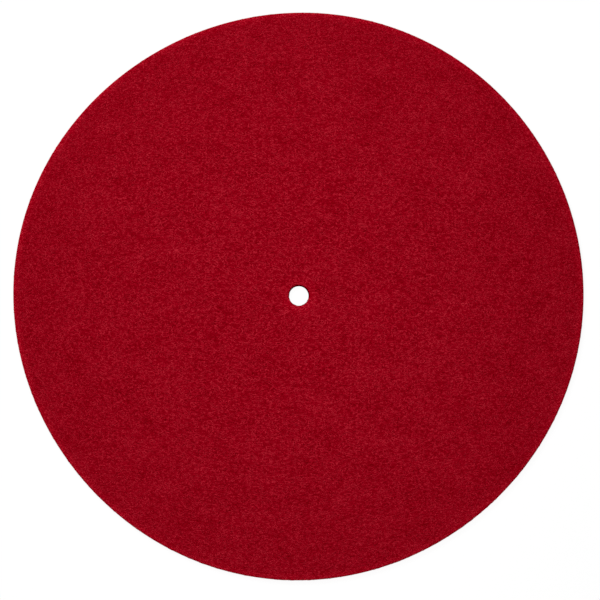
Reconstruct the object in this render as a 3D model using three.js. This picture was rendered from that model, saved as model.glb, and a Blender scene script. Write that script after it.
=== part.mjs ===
// Felt mat for a record player's platter: one round of red wool felt, punched flat, with a hole for the spindle.
// Millimetres, +Z up. The origin is the centre of the underside, and the mat lies on z = 0.

import * as THREE from "three";

// The round, as it is punched
const outerDiameter = 295;
const spindleHoleDiameter = 10.4;
const feltThickness = 3;

// The punch drags the felt's top edge down, and leaves the lower edge nearly sharp
const topRimRadius = 0.8;
const lowerRimRadius = 0.3;
const topHoleRadius = 0.5;
const lowerHoleRadius = 0.3;

// How finely the round edges are divided
const turnSteps = 180;
const cornerSteps = 3;

const feltColour = new THREE.Color().setRGB(140 / 255, 7 / 255, 23 / 255, THREE.SRGBColorSpace);
const feltRoughness = 0.95;

// Points of a quarter circle in the section (x is the distance from the axis, y the height),
// from startAngle anticlockwise.
function roundedCorner(centreX, centreY, radius, startAngle) {
  const points = [];
  for (let step = 0; step <= cornerSteps; step += 1) {
    const angle = startAngle + (step / cornerSteps) * (Math.PI / 2);
    points.push(
      new THREE.Vector2(centreX + radius * Math.cos(angle), centreY + radius * Math.sin(angle)),
    );
  }
  return points;
}

// The felt's section on one side of the axis: anticlockwise from the foot of the rim, over the
// top face to the hole's wall, and closed on itself along the underside.
function feltSection() {
  const rim = outerDiameter / 2;
  const hole = spindleHoleDiameter / 2;
  const points = [
    ...roundedCorner(rim - lowerRimRadius, lowerRimRadius, lowerRimRadius, -Math.PI / 2),
    ...roundedCorner(rim - topRimRadius, feltThickness - topRimRadius, topRimRadius, 0),
    ...roundedCorner(hole + topHoleRadius, feltThickness - topHoleRadius, topHoleRadius, Math.PI / 2),
    ...roundedCorner(hole + lowerHoleRadius, lowerHoleRadius, lowerHoleRadius, Math.PI),
  ];
  points.push(points[0].clone());
  return points;
}

function feltMat() {
  const geometry = new THREE.LatheGeometry(feltSection(), turnSteps);
  geometry.rotateX(Math.PI / 2);
  const material = new THREE.MeshStandardMaterial({
    color: feltColour,
    roughness: feltRoughness,
    metalness: 0,
  });
  const mesh = new THREE.Mesh(geometry, material);
  mesh.name = "felt_mat";
  return mesh;
}

const platterMat = new THREE.Group();
platterMat.add(feltMat());

export default platterMat;
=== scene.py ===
"""A red wool felt mat for a record player's platter, lying on a pale floor and seen from straight above.

The felt round is one closed mesh with a soft, uneven face and a punched edge. Curled strands of wool lie
over it with both ends rooted in it, as the loose top fibres of pressed felt do.
"""

import math

import bpy
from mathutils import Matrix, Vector, noise


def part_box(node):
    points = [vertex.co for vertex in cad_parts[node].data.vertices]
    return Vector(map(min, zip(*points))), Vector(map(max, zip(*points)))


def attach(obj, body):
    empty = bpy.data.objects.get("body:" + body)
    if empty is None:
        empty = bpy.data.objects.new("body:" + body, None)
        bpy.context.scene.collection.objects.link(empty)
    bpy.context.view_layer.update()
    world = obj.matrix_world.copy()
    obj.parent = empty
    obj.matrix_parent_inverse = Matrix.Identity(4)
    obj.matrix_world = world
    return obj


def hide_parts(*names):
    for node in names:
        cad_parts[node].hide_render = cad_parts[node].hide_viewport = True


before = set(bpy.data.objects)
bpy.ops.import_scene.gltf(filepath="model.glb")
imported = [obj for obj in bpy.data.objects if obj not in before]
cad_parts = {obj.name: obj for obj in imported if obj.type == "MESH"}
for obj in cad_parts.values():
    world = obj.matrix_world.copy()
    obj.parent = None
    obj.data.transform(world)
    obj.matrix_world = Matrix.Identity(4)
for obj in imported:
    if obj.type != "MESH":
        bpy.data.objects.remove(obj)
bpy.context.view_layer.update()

# Sizes that come from the CAD part, in metres. The hole is a little narrower than the CAD's, which makes up
# for a render's edge pixels: there the bright floor outweighs the wool more than it does in the photograph.
MM = 0.001
mat_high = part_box("felt_mat")[1]
RIM_RADIUS = mat_high.x
THICKNESS = mat_high.z
HOLE_NARROWING = 0.15 * MM
CAD_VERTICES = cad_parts["felt_mat"].data.vertices
HOLE_RADIUS = min(math.hypot(v.co.x, v.co.y) for v in CAD_VERTICES) - HOLE_NARROWING

# Punched edges: the punch drags the top edge down in a soft curve and leaves the foot nearly sharp.
# The round stands on its nap, a little above the floor.
TOP_RIM_ROUND = 0.8 * MM
TOP_HOLE_ROUND = 0.5 * MM
FOOT_ROUND = 0.3 * MM
CORNER_STEPS = 4
UNDER_NAP = 0.13 * MM

# Mesh cells: fine on the face that shows, coarser beneath. Round the mat they may be longer by a share.
WALL_CELL = 0.75 * MM
FACE_CELL = 1.3 * MM
UNDER_CELL = 2.6 * MM
LONGEST_CELL = 1.3
HOLE_SEGMENTS = 48

# The punch also presses a shallow shoulder into the face along the rim and round the hole
SHOULDER_DROP = 0.22 * MM
SHOULDER_WIDTH = 4.0 * MM
SHOULDER_POWER = 2

# Unevenness of the face: height and width of its soft rises, and how fast it dies away down the edge
RELIEF_HEIGHT = 0.07 * MM
RELIEF_WIDTH = 5.0 * MM
SWELL_HEIGHT = 0.05 * MM
SWELL_WIDTH = 22.0 * MM
RELIEF_DEPTH_POWER = 2

# How far the punched outline wanders from a true circle: waves round the rim, height, turn in degrees.
# The power says how fast the wander dies away towards the hole.
OUTLINE_WANDER = ((2, 0.42 * MM, -37), (3, 0.33 * MM, -125), (4, 0.30 * MM, 44))
WANDER_POWER = 3

# The hole's wall leans on one side, and shows as the photograph's dark crescent: how far it leans, towards
# which turn in degrees, and between which shares of the way there from the opposite side the lean sets in.
# The powers say how fast it dies away down the wall and outwards.
HOLE_LEAN = 0.80 * MM
HOLE_LEAN_TURN = 80
HOLE_LEAN_START = 0.35
HOLE_LEAN_FULL = 0.85
HOLE_LEAN_DEPTH_POWER = 2
HOLE_LEAN_FADE = 6

# Zones of the felt round, kept on its faces so that strands can be sown on one of them
FACE, RIM, UNDER, HOLE = range(4)

# Loose strands: name, zone, strands per square metre, thickness, arch
SOWINGS = (
    ("face_strands_1", FACE, 70000.0, 0.28 * MM, 0.06 * MM),
    ("face_strands_2", FACE, 70000.0, 0.28 * MM, 0.06 * MM),
    ("face_strands_3", FACE, 70000.0, 0.28 * MM, 0.05 * MM),
    ("face_strands_4", FACE, 70000.0, 0.28 * MM, 0.05 * MM),
    ("rim_strands", RIM, 120000.0, 0.22 * MM, 0.02 * MM),
    ("hole_strands", HOLE, 200000.0, 0.20 * MM, 0.02 * MM),
    ("underside_strands", UNDER, 35000.0, 0.24 * MM, 0.0),
)

# Each sowing's seed is this far from the last one's, and each random draw in it is one step on
SEED_STEP = 100
TONE_DRAW, STRAY_DRAW, LENGTH_DRAW = 1, 2, 3

# How far the wool lies level across the picture and round the mat near its rim, of 1
LEVEL_LIE = 0.15
ROUND_LIE = 0.12

# Shape of a loose strand: its sides, the thickness of its tips as a share, how far apart in the curl's noise
# two strands can lie, and the noise's detail
STRAND_SIDES = 3
STRAND_TIP = 0.2
CURL_VARIETY = 50.0
CURL_DETAIL = 1.0

# The middle value of Blender's noise, which runs from 0 to 1
NOISE_MIDDLE = 0.5

# Step over which a noise's slope is taken, and the least slope that still makes a strand, both in noise cells
NOISE_STEP = 0.04
LEAST_SLOPE = 0.25

# Layers of strands painted on the wool, lowest first: how light each is, and how dark the shade beside it.
# A layer without light is a shaded gap between strands. Each layer's noise lies this far from the last one's.
STRAND_LAYERS = ((0.52, 0.6), (0.60, 0.62), (0.67, 0.72), (0.0, 0.65), (0.76, 0.74), (0.88, 0.8))
LAYER_STEP = 13.7

# Spacing of the lowest layer's strands, and how much wider each next layer's is, as shares
FIRST_SPACING = 0.85
SPACING_STEP = 0.05

# Where the layer below is low, a strand is sunk into it: over which heights, and how much then still shows
SUNK_BELOW = 0.35
FREE_ABOVE = 0.55
SUNK_SHARE = 0.3

# Slow patches of lighter and deeper wool
PATCH_DETAIL = 3.0
PATCH_WEIGHT = 0.31

# Felt colours, from the shade between the strands to the strands that catch the light
FELT_SHADES = (
    (0.00, (0.150, 0.0000, 0.0018, 1)),
    (0.35, (0.255, 0.0000, 0.0068, 1)),
    (0.60, (0.334, 0.0047, 0.0146, 1)),
    (0.90, (0.395, 0.0142, 0.0272, 1)),
)
SHADED_ROUGHNESS = 1.0
LIT_ROUGHNESS = 0.85

# How far the painted strands stand up in the felt's and in a loose strand's bump
FELT_BUMP = 0.06 * MM
STRAND_BUMP = 0.02 * MM

# Painted light on the face along the rim and round the hole: how far in from the rim and out from the hole,
# how fast it dies away from the rim, and how much lighter it is
RIM_PAINTED_LIGHT_WIDTH = 4.2 * MM
RIM_PAINTED_LIGHT_POWER = 1.5
RIM_PAINTED_LIGHT = 0.40
HOLE_PAINTED_LIGHT_WIDTH = 7.0 * MM
HOLE_PAINTED_LIGHT = 0.18

# Deeper red a little along the top of the rim, and painted shade fully on the hole's wall
RIM_CUT_WIDTH = 0.9 * MM
RIM_CUT_SHARE = 0.48
HOLE_SHADE_WIDTH = 2.0 * MM
HOLE_SHADE_TOP = 0.15 * MM
HOLE_SHADE_FOOT = 0.8 * MM
CUT_AND_SHADE_TINT = (0.25, 0.0, 0.05, 1)

# Painted light on the fringe along the top of the rim, over the shade of its rounded edge, which keeps a
# render's edge pixels nearly as red as the photograph's: how wide it is, how much lighter, and over which
# depths it and the rim's deeper red die away
FRINGE_WIDTH = 0.5 * MM
FRINGE_PAINTED_LIGHT = 1.3
FRINGE_TOP = 0.5 * MM
FRINGE_FOOT = 0.9 * MM

# Light passes through loose strands, so they are a purer red, lit partly as the felt that they lie on
STRAND_TINT = (1.0, 0.55, 0.75)
FLAT_LIT = 0.7

# A loose strand's shade: a base, a share of the felt's own shade, and its own tone
LOOSE_BASE = 0.08
LOOSE_SHADE = 0.6
LOOSE_TONE = 0.45

# The floor: half its width, its grey and finish, and its glow, as it is seen and as it lights the mat
FLOOR_REACH = 12.0
FLOOR_GREY = (0.08, 0.08, 0.08, 1)
FLOOR_ROUGHNESS = 0.9
FLOOR_GLOW = 0.93
FLOOR_LIGHT = 0.45
WHITE = (1, 1, 1, 1)

# The white surround, as it is seen and as it lights the mat
SURROUND_SEEN = 1.0
SURROUND_LIGHT = 0.30

# Softboxes: name, place, aim, width, depth, power in watts
SOFTBOXES = (
    ("window_softbox", (-0.62, 0.92, 1.0), (0, 0, 0), 0.7, 0.5, 13.4),
    ("overhead_softbox", (-0.006, 0.008, 0.33), (-0.006, 0.008, 0), 0.12, 0.46, 0.585),
)

# Camera: straight above, a little right of and below the mat's centre, as the photograph is framed
PICTURE_WIDTH = 311.31 * MM
CAMERA_HEIGHT = 1.6
CAMERA_X = 0.62 * MM
CAMERA_Y = -2.07 * MM
SENSOR_MM = 36.0


# Helpers for node trees


def add_node(tree, kind, settings=None, inputs=None):
    """A node with its settings. An input is a plain value, or another node's output to link."""
    made = tree.nodes.new(kind)
    for name, value in (settings or {}).items():
        setattr(made, name, value)
    for key, value in (inputs or {}).items():
        if isinstance(key, int):
            socket = made.inputs[key]
        else:
            socket = next(s for s in made.inputs if s.enabled and s.name == key)
        if isinstance(value, bpy.types.NodeSocket):
            tree.links.new(value, socket)
        else:
            socket.default_value = value
    return made


def output(node, name=None):
    """The first output that is in use, or the one with that name."""
    return next(s for s in node.outputs if s.enabled and name in (None, s.name))


def maths(tree, operation, first, second=0.0, third=0.0):
    inputs = {0: first, 1: second, 2: third}
    return output(add_node(tree, "ShaderNodeMath", {"operation": operation}, inputs))


def vector_maths(tree, operation, first, second=None, scale=None):
    inputs = {0: first}
    if second is not None:
        inputs[1] = second
    if scale is not None:
        inputs["Scale"] = scale
    return output(add_node(tree, "ShaderNodeVectorMath", {"operation": operation}, inputs))


def vector_length(tree, vector):
    return output(add_node(tree, "ShaderNodeVectorMath", {"operation": "LENGTH"}, {0: vector}), "Value")


def combined(tree, parts):
    """A vector from its parts by name. A part that isn't given is 0."""
    return output(add_node(tree, "ShaderNodeCombineXYZ", {}, parts))


def spread(tree, value, start, end, at_start=0.0, at_end=1.0, kind="LINEAR"):
    """A value from one range laid out on another, and held at its ends."""
    inputs = {"Value": value, "From Min": start, "From Max": end, "To Min": at_start, "To Max": at_end}
    return output(add_node(tree, "ShaderNodeMapRange", {"interpolation_type": kind}, inputs))


def new_group(name, kind, inputs, outputs):
    """An empty node group with named sockets, and its input sockets' values inside it by name."""
    tree = bpy.data.node_groups.new(name, kind)
    for label, socket_type, value in inputs:
        socket = tree.interface.new_socket(name=label, in_out="INPUT", socket_type=socket_type)
        if value is not None:
            socket.default_value = value
    for label, socket_type in outputs:
        tree.interface.new_socket(name=label, in_out="OUTPUT", socket_type=socket_type)
    start = tree.nodes.new("NodeGroupInput")
    return tree, {socket.name: socket for socket in start.outputs if socket.name}


def end_group(tree, results):
    end = tree.nodes.new("NodeGroupOutput")
    for label, socket in results.items():
        tree.links.new(socket, end.inputs[label])


# The felt round


def corner(centre_radius, centre_height, size, start_degrees):
    """Section points round one quarter of an edge, clockwise with the axis on the left."""
    points = []
    for step in range(CORNER_STEPS + 1):
        angle = math.radians(start_degrees - 90 * step / CORNER_STEPS)
        points.append((centre_radius + size * math.cos(angle), centre_height + size * math.sin(angle)))
    return points


def straight(start, end, cell):
    """Section points between two corners, without either end."""
    length = math.hypot(end[0] - start[0], end[1] - start[1])
    steps = max(1, round(length / cell))
    shares = [step / steps for step in range(1, steps)]
    return [(start[0] + (end[0] - start[0]) * s, start[1] + (end[1] - start[1]) * s) for s in shares]


def felt_section():
    """The closed section as (radius, height): out over the face, down the rim, back beneath, up the hole."""
    hole_top = corner(HOLE_RADIUS + TOP_HOLE_ROUND, THICKNESS - TOP_HOLE_ROUND, TOP_HOLE_ROUND, 180)
    rim_top = corner(RIM_RADIUS - TOP_RIM_ROUND, THICKNESS - TOP_RIM_ROUND, TOP_RIM_ROUND, 90)
    rim_foot = corner(RIM_RADIUS - FOOT_ROUND, UNDER_NAP + FOOT_ROUND, FOOT_ROUND, 0)
    hole_foot = corner(HOLE_RADIUS + FOOT_ROUND, UNDER_NAP + FOOT_ROUND, FOOT_ROUND, -90)
    return (
        hole_top
        + straight(hole_top[-1], rim_top[0], FACE_CELL)
        + rim_top
        + straight(rim_top[-1], rim_foot[0], WALL_CELL)
        + rim_foot
        + straight(rim_foot[-1], hole_foot[0], UNDER_CELL)
        + hole_foot
        + straight(hole_foot[-1], hole_top[0], WALL_CELL)
    )


def zone_between(start, end):
    """Which zone of the felt lies between two section points."""
    flat = abs(end[1] - start[1]) < abs(end[0] - start[0])
    if flat:
        zone = FACE if start[1] + end[1] > THICKNESS else UNDER
    else:
        zone = RIM if start[0] > RIM_RADIUS / 2 else HOLE
    return zone


def ring_segments(radius, height):
    """How many segments a ring is cut into: doubled outwards, so that cells stay near one size."""
    cell = FACE_CELL if height > THICKNESS / 2 else UNDER_CELL
    segments = HOLE_SEGMENTS
    while 2 * math.pi * radius / segments > LONGEST_CELL * cell:
        segments *= 2
    return segments


def felt_relief(x, y):
    """Height of the face above its mean plane: soft rises at two sizes on a wide gentle swell."""
    small = noise.noise(Vector((x, y, 0)) / RELIEF_WIDTH)
    smaller = noise.noise(Vector((x, y, RELIEF_WIDTH)) * 2 / RELIEF_WIDTH)
    wide = noise.noise(Vector((x, y, SWELL_WIDTH)) / SWELL_WIDTH)
    return RELIEF_HEIGHT * (small + smaller / 2) + SWELL_HEIGHT * wide


def shoulder(radius):
    """How far the face is pressed down at a radius."""
    inside = min(RIM_RADIUS - radius, radius - HOLE_RADIUS)
    return SHOULDER_DROP * max(0.0, 1 - inside / SHOULDER_WIDTH) ** SHOULDER_POWER


def hole_lean(radius, height, angle):
    """How far the hole's leaning wall is let out: most at the top of one side, and not at all opposite."""
    towards = (1 + math.cos(angle - math.radians(HOLE_LEAN_TURN))) / 2
    share = (towards - HOLE_LEAN_START) / (HOLE_LEAN_FULL - HOLE_LEAN_START)
    share = min(1.0, max(0.0, share))
    leaning = share * share * (3 - 2 * share)
    up_the_wall = (height / THICKNESS) ** HOLE_LEAN_DEPTH_POWER
    return HOLE_LEAN * leaning * up_the_wall * (HOLE_RADIUS / radius) ** HOLE_LEAN_FADE


def felt_point(radius, height, angle):
    """A point of the felt's skin: the section turned about the axis and let out to the wandering outline."""
    wander = sum(rise * math.cos(waves * angle + math.radians(turn)) for waves, rise, turn in OUTLINE_WANDER)
    reach = radius + wander * (radius / RIM_RADIUS) ** WANDER_POWER + hole_lean(radius, height, angle)
    x = reach * math.cos(angle)
    y = reach * math.sin(angle)
    uneven = felt_relief(x, y) - shoulder(radius)
    return (x, y, height + uneven * (height / THICKNESS) ** RELIEF_DEPTH_POWER)


def stitch_rings(inner, outer):
    """Faces between neighbouring rings of vertex numbers, where one may have twice as many as the other."""
    if len(inner) > len(outer):
        faces = [tuple(reversed(face)) for face in stitch_rings(outer, inner)]
    elif len(inner) == len(outer):
        after_inner = inner[1:] + inner[:1]
        after_outer = outer[1:] + outer[:1]
        faces = list(zip(inner, outer, after_outer, after_inner))
    else:
        faces = []
        for i, start in enumerate(inner):
            end = inner[(i + 1) % len(inner)]
            first, middle, last = outer[2 * i], outer[2 * i + 1], outer[(2 * i + 2) % len(outer)]
            faces += [(start, first, middle), (start, middle, end), (middle, last, end)]
    return faces


def felt_mesh():
    """The felt mat as one closed mesh, with each face's zone kept on it."""
    section = felt_section()
    points = []
    rings = []
    for radius, height in section:
        count = ring_segments(radius, height)
        rings.append(list(range(len(points), len(points) + count)))
        points += [felt_point(radius, height, 2 * math.pi * i / count) for i in range(count)]
    faces = []
    zones = []
    for i, ring in enumerate(rings):
        following = (i + 1) % len(rings)
        strip = stitch_rings(ring, rings[following])
        faces += strip
        zones += [zone_between(section[i], section[following])] * len(strip)
    mesh = bpy.data.meshes.new("felt_round")
    mesh.from_pydata(points, [], faces)
    mesh.attributes.new("zone", "INT", "FACE").data.foreach_set("value", zones)
    mesh.polygons.foreach_set("use_smooth", [True] * len(mesh.polygons))
    mesh.update()
    return mesh


def new_piece(name, mesh):
    piece = bpy.data.objects.new(name, mesh)
    bpy.context.scene.collection.objects.link(piece)
    return piece


# Wool strands laid over the felt


def strand_tree():
    """Geometry Nodes: strands of wool sown on one zone, curled, pressed onto it and rooted at both ends."""
    tree, size = new_group(
        "wool_strands",
        "GeometryNodeTree",
        [
            ("Felt", "NodeSocketGeometry", None),
            ("Zone", "NodeSocketInt", FACE),
            ("Strands per Square Metre", "NodeSocketFloat", 70000.0),
            ("Shortest", "NodeSocketFloat", 2.0 * MM),
            ("Longest", "NodeSocketFloat", 5.0 * MM),
            ("Thickness", "NodeSocketFloat", 0.3 * MM),
            ("Arch", "NodeSocketFloat", 0.1 * MM),
            ("Root Depth", "NodeSocketFloat", 0.15 * MM),
            ("Curl", "NodeSocketFloat", 1.6 * MM),
            ("Curl Width", "NodeSocketFloat", 1.8 * MM),
            ("Points", "NodeSocketInt", 7),
            ("Seed", "NodeSocketInt", 0),
            ("Material", "NodeSocketMaterial", None),
        ],
        [("Strands", "NodeSocketGeometry")],
    )

    def node(kind, settings, inputs, name=None):
        return output(add_node(tree, kind, settings, inputs), name)

    def random(low, high, draw):
        inputs = {"Min": low, "Max": high, "Seed": maths(tree, "ADD", size["Seed"], draw)}
        return node("FunctionNodeRandomValue", {"data_type": "FLOAT"}, inputs)

    def store(geometry, name, data_type, value):
        settings = {"data_type": data_type, "domain": "POINT"}
        inputs = {"Geometry": geometry, "Name": name, "Value": value}
        return node("GeometryNodeStoreNamedAttribute", settings, inputs)

    def recall(name, data_type):
        return node("GeometryNodeInputNamedAttribute", {"data_type": data_type}, {"Name": name})

    # Where the strands root
    in_zone = node(
        "FunctionNodeCompare",
        {"data_type": "INT", "operation": "EQUAL"},
        {"A": recall("zone", "INT"), "B": size["Zone"]},
    )
    sown = add_node(
        tree,
        "GeometryNodeDistributePointsOnFaces",
        {"distribute_method": "RANDOM"},
        {
            "Mesh": size["Felt"],
            "Selection": in_zone,
            "Density": size["Strands per Square Metre"],
            "Seed": size["Seed"],
        },
    )
    normal = output(sown, "Normal")
    points = store(output(sown, "Points"), "outward", "FLOAT_VECTOR", normal)
    points = store(points, "tone", "FLOAT", random(0.0, 1.0, TONE_DRAW))

    # Which way they lie: level in the mat's middle, more round it near the rim, and strayed from that
    place = node("GeometryNodeInputPosition", {}, {})
    parts = add_node(tree, "ShaderNodeSeparateXYZ", {}, {0: place})
    x, y = parts.outputs["X"], parts.outputs["Y"]
    squares = maths(tree, "SUBTRACT", maths(tree, "MULTIPLY", x, x), maths(tree, "MULTIPLY", y, y))
    round_share = ROUND_LIE / RIM_RADIUS**2
    level = maths(tree, "SUBTRACT", LEVEL_LIE, maths(tree, "MULTIPLY", squares, round_share))
    around = maths(tree, "MULTIPLY", maths(tree, "MULTIPLY", x, y), -2 * round_share)
    lie = maths(tree, "MULTIPLY", maths(tree, "ARCTAN2", around, level), 1 / 2)
    lie = combined(tree, {"X": maths(tree, "COSINE", lie), "Y": maths(tree, "SINE", lie)})
    aligned = node(
        "FunctionNodeAxesToRotation",
        {"primary_axis": "Z", "secondary_axis": "X"},
        {"Primary Axis": normal, "Secondary Axis": lie},
    )
    share = random(-1.0, 1.0, STRAY_DRAW)
    stray = maths(tree, "MULTIPLY", share, maths(tree, "ABSOLUTE", share))
    stray = maths(tree, "MULTIPLY", stray, math.pi / 2)
    turn = node("FunctionNodeAxisAngleToRotation", {}, {"Axis": (0, 0, 1), "Angle": stray})
    turned = {"Rotation": aligned, "Rotate By": turn}
    rotation = node("FunctionNodeRotateRotation", {"rotation_space": "LOCAL"}, turned)
    ends = {"Start": (-1 / 2, 0, 0), "End": (1 / 2, 0, 0)}
    line = node("GeometryNodeCurvePrimitiveLine", {"mode": "POINTS"}, ends)
    line = node("GeometryNodeResampleCurve", {"mode": "COUNT"}, {"Curve": line, "Count": size["Points"]})
    length = random(size["Shortest"], size["Longest"], LENGTH_DRAW)
    laid = node(
        "GeometryNodeInstanceOnPoints",
        {},
        {"Points": points, "Instance": line, "Rotation": rotation, "Scale": length},
    )
    laid = node("GeometryNodeRealizeInstances", {}, {"Geometry": laid})

    # How high each point of a strand arches: a parabola, 0 at both ends and 1 in the middle
    outward = recall("outward", "FLOAT_VECTOR")
    along = output(add_node(tree, "GeometryNodeSplineParameter"), "Factor")
    arch = maths(tree, "MULTIPLY", maths(tree, "MULTIPLY", along, 4.0), maths(tree, "SUBTRACT", 1.0, along))

    # Curled sideways, then pressed onto the felt, with the ends below its skin
    curl = node(
        "ShaderNodeTexNoise",
        {"noise_dimensions": "4D"},
        {
            "Vector": vector_maths(tree, "DIVIDE", place, size["Curl Width"]),
            "W": maths(tree, "MULTIPLY", recall("tone", "FLOAT"), CURL_VARIETY),
            "Scale": 1.0,
            "Detail": CURL_DETAIL,
        },
        "Color",
    )
    curl = vector_maths(tree, "SUBTRACT", curl, (NOISE_MIDDLE, NOISE_MIDDLE, NOISE_MIDDLE))
    curl_reach = maths(tree, "MULTIPLY", size["Curl"], 1 / NOISE_MIDDLE)
    moved = vector_maths(tree, "ADD", place, vector_maths(tree, "SCALE", curl, scale=curl_reach))
    pressed = node(
        "GeometryNodeProximity",
        {"target_element": "FACES"},
        {"Geometry": size["Felt"], "Sample Position": moved},
        "Position",
    )
    rise = maths(tree, "MULTIPLY", arch, maths(tree, "ADD", size["Arch"], size["Root Depth"]))
    rise = maths(tree, "SUBTRACT", rise, size["Root Depth"])
    raised = vector_maths(tree, "ADD", pressed, vector_maths(tree, "SCALE", outward, scale=rise))
    curved = node("GeometryNodeSetPosition", {}, {"Geometry": laid, "Position": raised})

    # Thin closed strands, thinner at the ends
    fullness = maths(tree, "MULTIPLY", maths(tree, "POWER", arch, 1 / 2), 1 - STRAND_TIP)
    taper = maths(tree, "ADD", STRAND_TIP, fullness)
    girth = maths(tree, "MULTIPLY", maths(tree, "MULTIPLY", size["Thickness"], 1 / 2), taper)
    round_section = {"Resolution": STRAND_SIDES, "Radius": 1.0}
    section = node("GeometryNodeCurvePrimitiveCircle", {"mode": "RADIUS"}, round_section)
    strands = node(
        "GeometryNodeCurveToMesh",
        {},
        {"Curve": curved, "Profile Curve": section, "Scale": girth, "Fill Caps": True},
    )
    strands = node("GeometryNodeSetShadeSmooth", {"domain": "FACE"}, {"Geometry": strands})
    strands = node("GeometryNodeRealizeInstances", {}, {"Geometry": strands})
    strands = node("GeometryNodeSetMaterial", {}, {"Geometry": strands, "Material": size["Material"]})
    end_group(tree, {"Strands": strands})
    return tree


def sow_strands(name, tree, felt, material, sizes):
    """A plain mesh of strands, made by the tree on a copy of the felt's mesh."""
    carrier = new_piece(name + "_sown", felt.data.copy())
    modifier = carrier.modifiers.new("strands", "NODES")
    modifier.node_group = tree
    for socket in tree.interface.items_tree:
        if socket.in_out == "INPUT" and socket.name in sizes:
            modifier[socket.identifier] = sizes[socket.name]
        if socket.in_out == "INPUT" and socket.name == "Material":
            modifier[socket.identifier] = material
    evaluated = carrier.evaluated_get(bpy.context.evaluated_depsgraph_get())
    mesh = bpy.data.meshes.new_from_object(evaluated)
    mesh.name = name
    carrier.modifiers.clear()
    bpy.data.objects.remove(carrier)
    return new_piece(name, mesh)


# Finishes


def plain_noise(tree, place, detail):
    return add_node(tree, "ShaderNodeTexNoise", {}, {"Vector": place, "Scale": 1.0, "Detail": detail})


def strand_layer_group():
    """Shader group: curled strands of even width, laid over the layer below with shade beside them."""
    tree, size = new_group(
        "strand_layer",
        "ShaderNodeTree",
        [
            ("Vector", "NodeSocketVector", None),
            ("Below", "NodeSocketFloat", 0.0),
            ("Brightness", "NodeSocketFloat", 1.0),
            ("Spacing", "NodeSocketFloat", 2.3 * MM),
            ("Width", "NodeSocketFloat", 0.55 * MM),
            ("Shade Beside", "NodeSocketFloat", 0.5),
            ("Shade Width", "NodeSocketFloat", 1.9),
            ("Sunk", "NodeSocketFloat", 0.5),
            ("Layer", "NodeSocketFloat", 0.0),
        ],
        [("Strands", "NodeSocketFloat"), ("Field", "NodeSocketFloat")],
    )

    # The field whose middle value marks the strands, and how steep it is there
    layer_level = combined(tree, {"Z": maths(tree, "MULTIPLY", size["Layer"], LAYER_STEP)})
    place = vector_maths(tree, "DIVIDE", size["Vector"], size["Spacing"])
    place = vector_maths(tree, "ADD", place, layer_level)
    field = output(plain_noise(tree, place, 0.0), "Fac")
    slopes = []
    for step in ((NOISE_STEP, 0, 0), (0, NOISE_STEP, 0)):
        beyond = output(plain_noise(tree, vector_maths(tree, "ADD", place, step), 0.0), "Fac")
        slopes.append(maths(tree, "SUBTRACT", beyond, field))
    slope = vector_length(tree, combined(tree, {"X": slopes[0], "Y": slopes[1]}))
    slope = maths(tree, "MAXIMUM", slope, NOISE_STEP * LEAST_SLOPE)

    # How far away the middle of the nearest strand is
    away = maths(tree, "ABSOLUTE", maths(tree, "SUBTRACT", field, NOISE_MIDDLE))
    step_length = maths(tree, "MULTIPLY", size["Spacing"], NOISE_STEP)
    away = maths(tree, "MULTIPLY", maths(tree, "DIVIDE", away, slope), step_length)

    def line(width):
        return spread(tree, away, 0.0, width, at_start=1.0, at_end=0.0, kind="SMOOTHSTEP")

    # Strands sink into the felt here and there
    sunk = spread(tree, size["Sunk"], SUNK_BELOW, FREE_ABOVE, at_start=SUNK_SHARE)
    shade_width = maths(tree, "MULTIPLY", size["Width"], size["Shade Width"])
    beside = maths(tree, "MULTIPLY", line(shade_width), size["Shade Beside"])
    left = maths(tree, "SUBTRACT", 1.0, maths(tree, "MULTIPLY", beside, sunk))
    shaded = maths(tree, "MULTIPLY", size["Below"], left)
    lit = maths(tree, "MULTIPLY", maths(tree, "MULTIPLY", line(size["Width"]), size["Brightness"]), sunk)
    end_group(tree, {"Strands": maths(tree, "MAXIMUM", shaded, lit), "Field": field})
    return tree


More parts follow.
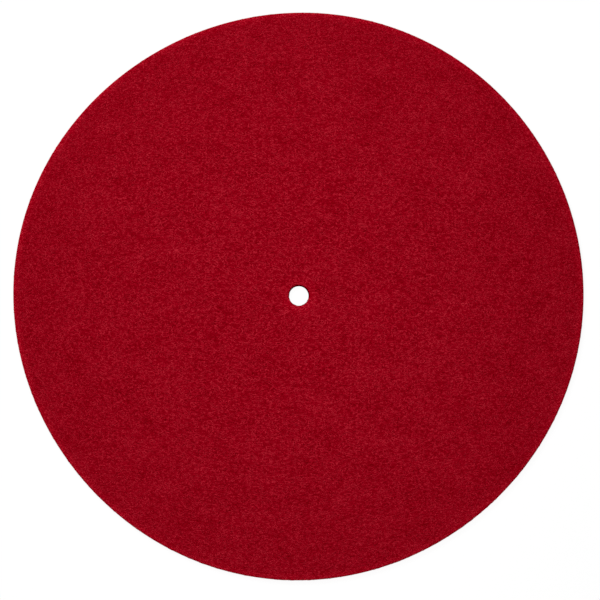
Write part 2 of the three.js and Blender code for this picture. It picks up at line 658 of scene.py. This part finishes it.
def felt_pattern_group(layer_group):
    """Shader group: matted wool as layers of curled strands, its slow patches, and how near its edges are."""
    tree, size = new_group(
        "matted_wool",
        "ShaderNodeTree",
        [
            ("Vector", "NodeSocketVector", None),
            ("Strand Spacing", "NodeSocketFloat", 1.80 * MM),
            ("Grain Size", "NodeSocketFloat", 1.2 * MM),
            ("Grain", "NodeSocketFloat", 0.45),
            ("Ground", "NodeSocketFloat", 0.40),
            ("Patch Size", "NodeSocketFloat", 28.0 * MM),
            ("Level Squeeze", "NodeSocketFloat", 1.80),
            ("Round Squeeze", "NodeSocketFloat", 0.20),
            ("Waviness", "NodeSocketFloat", 1.1 * MM),
        ],
        [
            ("Strands", "NodeSocketFloat"),
            ("Patches", "NodeSocketFloat"),
            ("Rim", "NodeSocketFloat"),
            ("Hole", "NodeSocketFloat"),
            ("Fringe", "NodeSocketFloat"),
            ("Cut Edge And Shade", "NodeSocketFloat"),
        ],
    )

    # The wool's lie: squeezed level across the mat, and round it towards the rim
    radius = vector_length(tree, vector_maths(tree, "MULTIPLY", size["Vector"], (1, 1, 0)))
    reach = maths(tree, "POWER", maths(tree, "DIVIDE", radius, RIM_RADIUS), 2.0)
    swirl = maths(tree, "MULTIPLY_ADD", reach, size["Round Squeeze"], 1.0)
    lain = vector_maths(tree, "SCALE", size["Vector"], scale=swirl)
    squeeze = combined(tree, {"X": 1.0, "Y": size["Level Squeeze"], "Z": 1.0})
    lain = vector_maths(tree, "MULTIPLY", lain, squeeze)

    # The wool's soft grain, whose colours also turn the strands in waves
    grain = plain_noise(tree, vector_maths(tree, "DIVIDE", lain, size["Grain Size"]), 0.0)
    middle = (NOISE_MIDDLE, NOISE_MIDDLE, NOISE_MIDDLE)
    waves = vector_maths(tree, "SUBTRACT", output(grain, "Color"), middle)
    waved = vector_maths(tree, "ADD", lain, vector_maths(tree, "SCALE", waves, scale=size["Waviness"]))
    field = output(grain, "Fac")
    grain_height = maths(tree, "SUBTRACT", field, NOISE_MIDDLE)
    total = maths(tree, "MULTIPLY_ADD", grain_height, size["Grain"], size["Ground"])
    for layer, (brightness, shade) in enumerate(STRAND_LAYERS):
        spacing_share = FIRST_SPACING + SPACING_STEP * layer
        inputs = {
            "Vector": waved,
            "Below": total,
            "Sunk": field,
            "Brightness": brightness,
            "Shade Beside": shade,
            "Spacing": maths(tree, "MULTIPLY", size["Strand Spacing"], spacing_share),
            "Layer": float(layer),
        }
        laid = add_node(tree, "ShaderNodeGroup", {"node_tree": layer_group}, inputs)
        total = output(laid, "Strands")
        field = output(laid, "Field")
    patches = plain_noise(tree, vector_maths(tree, "DIVIDE", lain, size["Patch Size"]), PATCH_DETAIL)

    # How near the rim and the hole are, where the rim is the wandering outline
    parts = add_node(tree, "ShaderNodeSeparateXYZ", {}, {0: size["Vector"]})
    angle = maths(tree, "ARCTAN2", parts.outputs["Y"], parts.outputs["X"])
    outline = RIM_RADIUS
    for waves_round, rise, turn in OUTLINE_WANDER:
        wave = maths(tree, "COSINE", maths(tree, "MULTIPLY_ADD", angle, waves_round, math.radians(turn)))
        outline = maths(tree, "MULTIPLY_ADD", wave, rise, outline)
    from_rim = maths(tree, "SUBTRACT", outline, radius)
    from_hole = maths(tree, "SUBTRACT", radius, HOLE_RADIUS)
    depth = maths(tree, "SUBTRACT", THICKNESS, parts.outputs["Z"])

    def near(distance, width, kind):
        return spread(tree, distance, 0.0, width, at_start=1.0, at_end=0.0, kind=kind)

    # Painted shade on the hole's wall, and a deeper red a little along the top of the rim
    down_the_hole = spread(tree, depth, HOLE_SHADE_TOP, HOLE_SHADE_FOOT, kind="SMOOTHSTEP")
    hole_wall_shade = maths(tree, "MULTIPLY", near(from_hole, HOLE_SHADE_WIDTH, "SMOOTHSTEP"), down_the_hole)
    on_top = spread(tree, depth, FRINGE_TOP, FRINGE_FOOT, at_start=1.0, at_end=0.0, kind="SMOOTHSTEP")
    rim_cut = maths(tree, "MULTIPLY", near(from_rim, RIM_CUT_WIDTH, "SMOOTHSTEP"), RIM_CUT_SHARE)
    rim_cut = maths(tree, "MULTIPLY", rim_cut, on_top)
    # Masks for painted light along the rim, round the hole and on the fringe, and for the cut edges' deeper
    # red and painted shade
    results = {
        "Strands": total,
        "Patches": output(patches, "Fac"),
        "Rim": maths(tree, "POWER", near(from_rim, RIM_PAINTED_LIGHT_WIDTH, "LINEAR"), RIM_PAINTED_LIGHT_POWER),
        "Hole": near(from_hole, HOLE_PAINTED_LIGHT_WIDTH, "SMOOTHSTEP"),
        "Fringe": maths(tree, "MULTIPLY", near(from_rim, FRINGE_WIDTH, "LINEAR"), on_top),
        "Cut Edge And Shade": maths(tree, "MAXIMUM", rim_cut, hole_wall_shade),
    }
    end_group(tree, results)
    return tree


def wool_material(name, pattern_group, bump, loose):
    """Matt red wool, shaded between deep and light red by its strands. Loose strands have their own tone."""
    material = bpy.data.materials.new(name)
    material.use_nodes = True
    tree = material.node_tree
    shader = tree.nodes["Principled BSDF"]
    place = output(add_node(tree, "ShaderNodeTexCoord"), "Object")
    pattern = add_node(tree, "ShaderNodeGroup", {"node_tree": pattern_group}, {"Vector": place})

    # How light the wool is at each place
    patches = maths(tree, "SUBTRACT", output(pattern, "Patches"), NOISE_MIDDLE)
    patches = maths(tree, "MULTIPLY", patches, PATCH_WEIGHT)
    shade = maths(tree, "ADD", output(pattern, "Strands"), patches)
    if loose:
        tone = output(add_node(tree, "ShaderNodeAttribute", {"attribute_name": "tone"}), "Fac")
        shade = maths(tree, "MULTIPLY_ADD", shade, LOOSE_SHADE, LOOSE_BASE)
        shade = maths(tree, "MULTIPLY_ADD", tone, LOOSE_TONE, shade)

    # Its colour, with painted light along the rim and round the hole, and deeper at its cut edges
    ramp = add_node(tree, "ShaderNodeValToRGB", {}, {"Fac": shade})
    stops = ramp.color_ramp.elements
    stops.remove(stops[1])
    stops[0].color = FELT_SHADES[0][1]
    for position, red in FELT_SHADES[1:]:
        stops.new(position).color = red
    edge = maths(tree, "MULTIPLY_ADD", output(pattern, "Rim"), RIM_PAINTED_LIGHT, 1.0)
    edge = maths(tree, "MULTIPLY_ADD", output(pattern, "Hole"), HOLE_PAINTED_LIGHT, edge)
    colour = vector_maths(tree, "SCALE", output(ramp, "Color"), scale=edge)
    # Deeper red a little along the top of the rim, and painted shade on the hole's wall
    cut = {"Factor": output(pattern, "Cut Edge And Shade"), "A": colour, "B": CUT_AND_SHADE_TINT}
    colour = output(add_node(tree, "ShaderNodeMix", {"data_type": "RGBA", "blend_type": "MULTIPLY"}, cut))
    # Painted light on the rim's top fringe, over the shade of its rounded edge
    fringe = maths(tree, "MULTIPLY_ADD", output(pattern, "Fringe"), FRINGE_PAINTED_LIGHT, 1.0)
    colour = vector_maths(tree, "SCALE", colour, scale=fringe)
    if loose:
        colour = vector_maths(tree, "MULTIPLY", colour, STRAND_TINT)
    roughness = spread(tree, shade, 0.0, 1.0, at_start=SHADED_ROUGHNESS, at_end=LIT_ROUGHNESS)

    # Which way it faces: bumped by its strands, and for a loose one partly as the felt below it
    raised = {"Height": output(pattern, "Strands"), "Distance": bump, "Strength": 1.0}
    facing = output(add_node(tree, "ShaderNodeBump", {}, raised))
    if loose:
        outward = output(add_node(tree, "ShaderNodeAttribute", {"attribute_name": "outward"}), "Vector")
        turned = {"vector_type": "NORMAL", "convert_from": "OBJECT", "convert_to": "WORLD"}
        outward = output(add_node(tree, "ShaderNodeVectorTransform", turned, {"Vector": outward}))
        flattened = {"Factor": FLAT_LIT, "A": facing, "B": outward}
        facing = output(add_node(tree, "ShaderNodeMix", {"data_type": "VECTOR"}, flattened))
        facing = vector_maths(tree, "NORMALIZE", facing)
    tree.links.new(colour, shader.inputs["Base Color"])
    tree.links.new(roughness, shader.inputs["Roughness"])
    tree.links.new(facing, shader.inputs["Normal"])
    shader.inputs["Specular IOR Level"].default_value = 0.0
    return material


def seen_or_lighting(tree, seen_strength, light_strength):
    """One strength for what the camera sees, and another for what lights the mat."""
    seen = output(add_node(tree, "ShaderNodeLightPath"), "Is Camera Ray")
    return spread(tree, seen, 0.0, 1.0, at_start=light_strength, at_end=seen_strength)


def floor_material():
    """Opal light table: it glows by itself, so that the mat leaves no shadow on it."""
    material = bpy.data.materials.new("pale_floor")
    material.use_nodes = True
    tree = material.node_tree
    shader = tree.nodes["Principled BSDF"]
    shader.inputs["Base Color"].default_value = FLOOR_GREY
    shader.inputs["Roughness"].default_value = FLOOR_ROUGHNESS
    shader.inputs["Specular IOR Level"].default_value = 0.0
    shader.inputs["Emission Color"].default_value = WHITE
    tree.links.new(seen_or_lighting(tree, FLOOR_GLOW, FLOOR_LIGHT), shader.inputs["Emission Strength"])
    return material


# Studio


def pale_floor():
    near, far = -FLOOR_REACH, FLOOR_REACH
    corners = [(near, near, 0), (far, near, 0), (far, far, 0), (near, far, 0)]
    mesh = bpy.data.meshes.new("pale_floor")
    mesh.from_pydata(corners, [], [(0, 1, 2, 3)])
    mesh.materials.append(floor_material())
    return new_piece("pale_floor", mesh)


def soft_light(name, place, aim, width, depth, power):
    light = bpy.data.lights.new(name, "AREA")
    light.shape = "RECTANGLE"
    light.size = width
    light.size_y = depth
    light.energy = power
    holder = bpy.data.objects.new(name, light)
    bpy.context.scene.collection.objects.link(holder)
    holder.location = place
    holder.rotation_euler = (Vector(aim) - Vector(place)).to_track_quat("-Z", "Y").to_euler()


def studio_surround():
    """White surround: a soft fill on the mat, and plain white where the camera looks past the floor."""
    world = bpy.data.worlds.new("white_surround")
    world.use_nodes = True
    tree = world.node_tree
    strength = seen_or_lighting(tree, SURROUND_SEEN, SURROUND_LIGHT)
    tree.nodes["Background"].inputs["Color"].default_value = WHITE
    tree.links.new(strength, tree.nodes["Background"].inputs["Strength"])
    bpy.context.scene.world = world


def camera_above():
    camera = bpy.data.cameras.new("camera")
    camera.sensor_width = SENSOR_MM
    camera.lens = SENSOR_MM * (CAMERA_HEIGHT - THICKNESS) / PICTURE_WIDTH
    holder = bpy.data.objects.new("camera", camera)
    bpy.context.scene.collection.objects.link(holder)
    holder.location = (CAMERA_X, CAMERA_Y, CAMERA_HEIGHT)
    bpy.context.scene.camera = holder


camera_above()
studio_surround()
for softbox in SOFTBOXES:
    soft_light(*softbox)
bpy.context.scene.view_settings.view_transform = "Standard"

matted_wool = felt_pattern_group(strand_layer_group())
felt = new_piece("felt_round", felt_mesh())
felt.data.materials.append(wool_material("red_felt", matted_wool, FELT_BUMP, False))

sowing_tree = strand_tree()
strand_finish = wool_material("wool_strands", matted_wool, STRAND_BUMP, True)
strands = []
for number, (name, zone, density, thickness, arch) in enumerate(SOWINGS):
    sizes = {
        "Zone": zone,
        "Strands per Square Metre": density,
        "Thickness": thickness,
        "Arch": arch,
        "Seed": SEED_STEP * number,
    }
    strands.append(sow_strands(name, sowing_tree, felt, strand_finish, sizes))

floor = pale_floor()
for piece in [felt, *strands]:
    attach(piece, "root")
    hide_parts("felt_mat")
